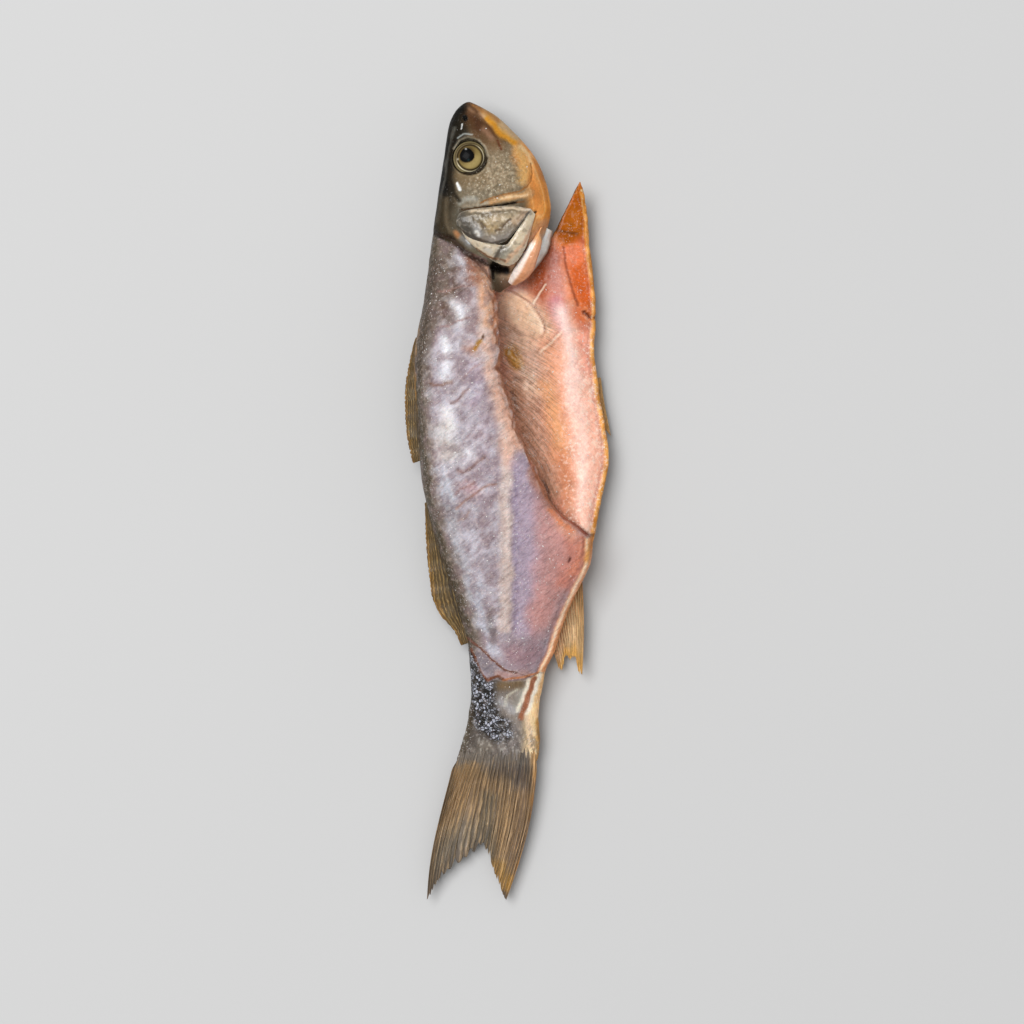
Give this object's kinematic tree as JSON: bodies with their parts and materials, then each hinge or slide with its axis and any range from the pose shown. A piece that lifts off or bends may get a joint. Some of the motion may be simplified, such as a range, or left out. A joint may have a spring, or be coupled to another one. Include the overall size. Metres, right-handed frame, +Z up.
{
  "type": "smoked fish",
  "caption": "Whole smoked fish lying on its side, peeled and split open along the belly, with its head, gill cover, eyes, fins and forked tail.",
  "frame": {"origin": "middle of the fish's outline on the surface it lies on", "axes": "+Y along the fish towards the snout, +X towards the opened belly, +Z up from the surface it lies on"},
  "size_m": [0.0826, 0.32, 0.0365],
  "materials": {
    "flesh": "moist smoked flesh, lavender to peach, with dark skin at the head and tail",
    "eye": "clear gloss over an olive gold iris and a black pupil",
    "gill_bone": "smooth tan and silver bony plate, moist",
    "membrane": "pale pink moist membrane",
    "fin": "dry olive brown rays with a thin web",
    "tail": "dry golden brown rays with a thin web"
  },
  "bodies": {
    "root": {"body": "flesh", "eye": "eye", "eye_far": "eye", "gill_plate": "gill_bone", "gill_plate_lower": "gill_bone", "gill_membrane": "membrane", "back_fin_front": "fin", "back_fin_rear": "fin", "belly_fin_front": "fin", "belly_fin_rear": "fin", "tail_fin": "tail"}
  },
  "joints": []
}
